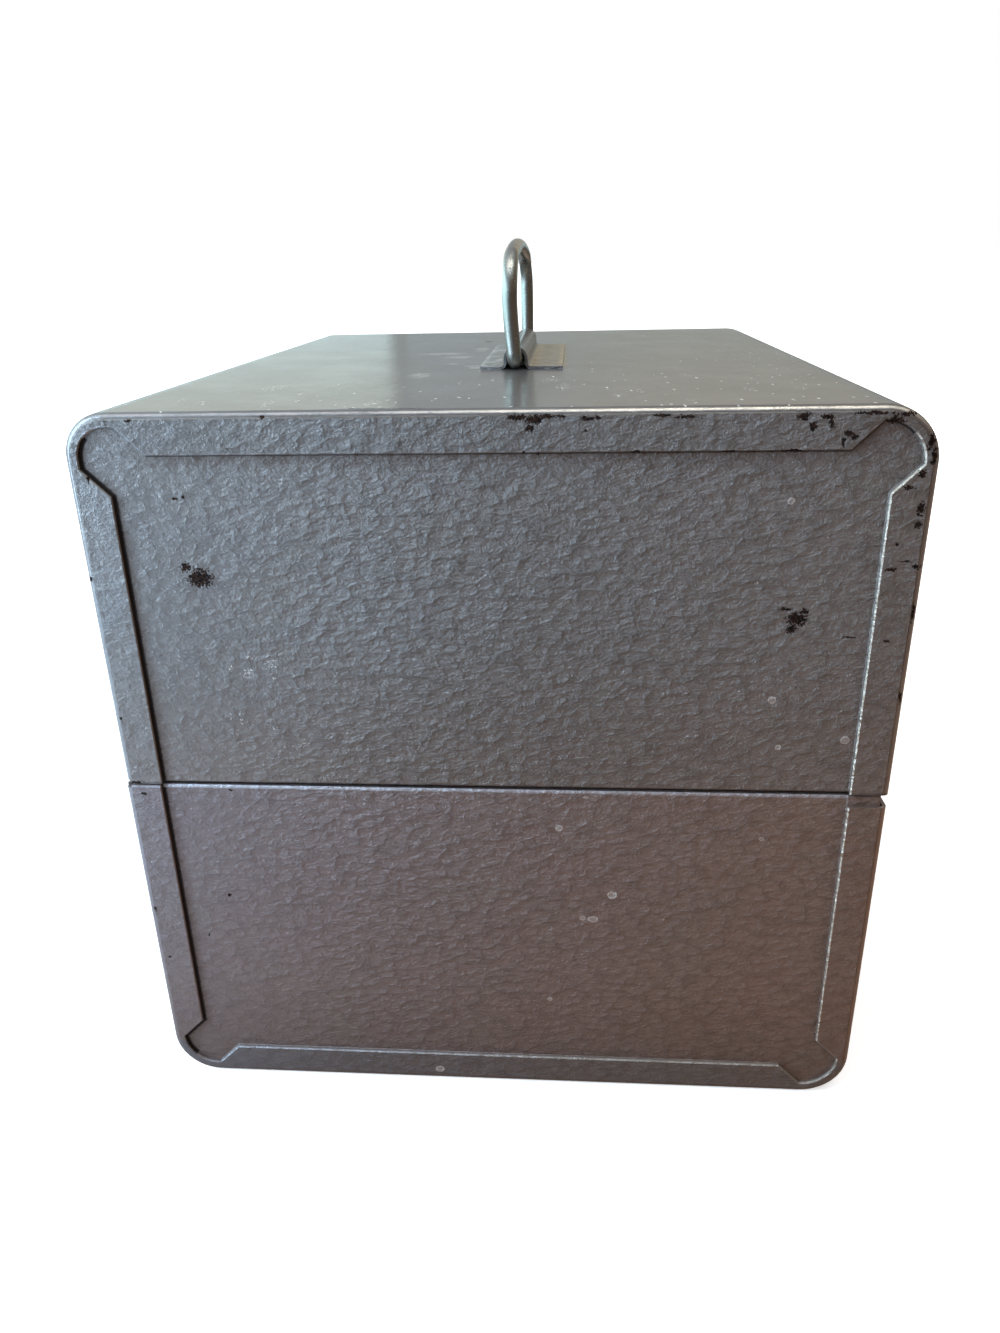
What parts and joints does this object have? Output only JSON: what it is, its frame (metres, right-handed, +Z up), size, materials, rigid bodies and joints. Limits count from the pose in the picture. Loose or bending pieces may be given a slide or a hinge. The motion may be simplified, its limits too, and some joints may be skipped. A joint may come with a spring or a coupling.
{
  "type": "film storage box",
  "caption": "Sheet-steel storage box for round film cans in grey-brown hammered enamel, with a back-hinged lid, a front snap latch, a wire bail handle and an inner wire rack.",
  "frame": {"origin": "centre of the flat underside, on the surface the box stands on", "axes": "+X along the length, +Z up, the latch faces -Y and the hinge is at +Y"},
  "size_m": [0.2416, 0.2072, 0.2342],
  "materials": {
    "hammered_enamel": "grey-brown hammered enamel, semi-gloss",
    "nickel_wire": "worn bright nickel plate",
    "plated_latch": "worn nickel-plated pressed steel",
    "zinc_steel": "dull zinc plate",
    "card_stock": "aged matt card"
  },
  "bodies": {
    "base": {"base_wrap": "hammered_enamel", "base_end_right": "hammered_enamel", "base_end_left": "hammered_enamel", "hinge_leaf_base": "zinc_steel", "hinge_pin": "zinc_steel", "latch_keeper": "plated_latch", "keeper_rivets": "plated_latch", "rack_rails": "zinc_steel", "rack_dividers": "zinc_steel", "rack_clips": "zinc_steel"},
    "lid": {"lid_wrap": "hammered_enamel", "lid_end_right": "hammered_enamel", "lid_end_left": "hammered_enamel", "hinge_leaf_lid": "zinc_steel", "handle_saddle": "hammered_enamel", "latch_plate": "plated_latch", "latch_plate_rivets": "plated_latch", "latch_pin": "plated_latch", "card_rails": "hammered_enamel", "index_card": "card_stock"},
    "handle": {"handle_bail": "nickel_wire"},
    "hasp": {"latch_hasp": "plated_latch"}
  },
  "joints": [
    {"name": "lid_hinge", "type": "hinge", "parent": "base", "child": "lid", "pos_m": [0, 0.0985, 0.09885], "axis": [-1, 0, 0], "range_deg": [0, 95]},
    {"name": "handle_pivot", "type": "hinge", "parent": "lid", "child": "handle", "pos_m": [0, 0.0021, 0.2001], "axis": [1, 0, 0], "range_deg": [-90, 84]},
    {"name": "hasp_pivot", "type": "hinge", "parent": "lid", "child": "hasp", "pos_m": [0, -0.10155, 0.111], "axis": [-1, 0, 0], "range_deg": [-7, 120]}
  ]
}
